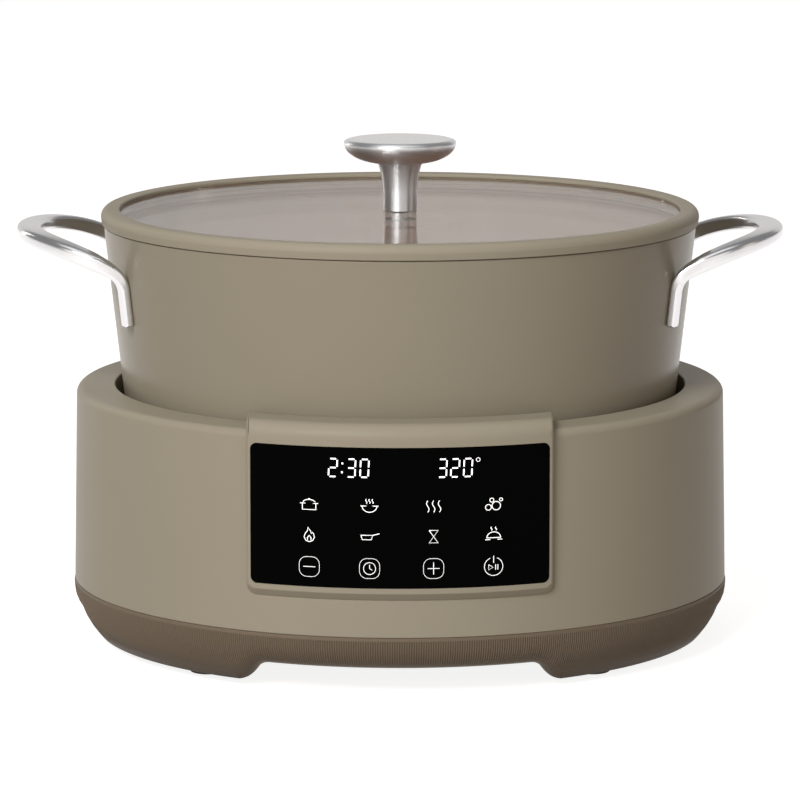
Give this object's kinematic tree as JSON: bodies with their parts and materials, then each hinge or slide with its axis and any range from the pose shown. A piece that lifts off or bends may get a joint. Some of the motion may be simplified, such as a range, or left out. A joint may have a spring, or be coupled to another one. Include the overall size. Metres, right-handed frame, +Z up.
{
  "type": "multicooker",
  "caption": "Countertop multicooker: a two-handled pot with a knobbed glass lid stands in a round heated base with a dark touch panel and a ribbed skirt.",
  "frame": {"origin": "on the worktop under the pot's axis", "axes": "+Z up, the panel faces -Y, the handles lie along X"},
  "size_m": [0.3596, 0.313, 0.2342],
  "materials": {
    "glass": "clear tempered",
    "rim": "satin silicone",
    "steel": "brushed",
    "seal": "matt",
    "fastener": "plain",
    "pot": "satin coating outside and in",
    "shell": "satin",
    "skirt": "fine upright ribs",
    "lens": "high gloss",
    "board": "solder mask",
    "display": "gloss",
    "foot": "matt",
    "liner": "rolled sheet",
    "plate": "machined casting",
    "tube": "oxidised",
    "fuse": "matt",
    "component": "plain",
    "inlet": "moulded",
    "pin": "plated",
    "wire": "insulated"
  },
  "bodies": {
    "base": {"outer_shell": "shell", "panel_bezel": "shell", "panel_lens": "lens", "control_board": "board", "time_display": "display", "heat_display": "display", "touch_pads": "seal", "control_screws": "fastener", "base_pan": "skirt", "foot_front_left": "foot", "foot_front_right": "foot", "foot_rear_left": "foot", "foot_rear_right": "foot", "base_screws": "fastener", "heat_liner": "liner", "liner_screws": "fastener", "heater_plate": "plate", "heater_tube": "tube", "heater_spacers": "fastener", "heater_screws": "fastener", "sensor_spring": "fastener", "sensor_cup": "fastener", "cup_screws": "fastener", "thermal_fuse": "fuse", "fuse_strap": "fastener", "strap_screws": "fastener", "power_board": "board", "power_relay": "component", "power_transformer": "component", "line_capacitor": "component", "power_screws": "fastener", "power_inlet": "inlet", "inlet_pins": "pin", "inlet_leads": "wire", "heater_leads": "wire", "panel_ribbon": "wire"},
    "pot": {"pot_shell": "pot", "handle_left": "steel", "handle_right": "steel", "handle_rivets": "fastener"},
    "lid": {"lid_glass": "glass", "lid_rim": "rim", "lid_knob": "steel", "knob_gasket": "seal", "glass_washer": "fastener", "knob_screw": "fastener"},
    "sensor": {"sensor_cap": "plate", "sensor_clip": "fastener"}
  },
  "joints": [
    {"name": "pot_lift", "type": "slide", "parent": "base", "child": "pot", "axis": [0, 0, 1], "range_m": [0, 0.09]},
    {"name": "lid_lift", "type": "slide", "parent": "pot", "child": "lid", "axis": [0, 0, 1], "range_m": [0, 0.06]},
    {"name": "sensor_press", "type": "slide", "parent": "base", "child": "sensor", "axis": [0, 0, 1], "range_m": [-0.004, 0], "stiffness_N_per_m": 500, "springref_m": 0.004, "deforming": ["sensor_spring"]}
  ]
}
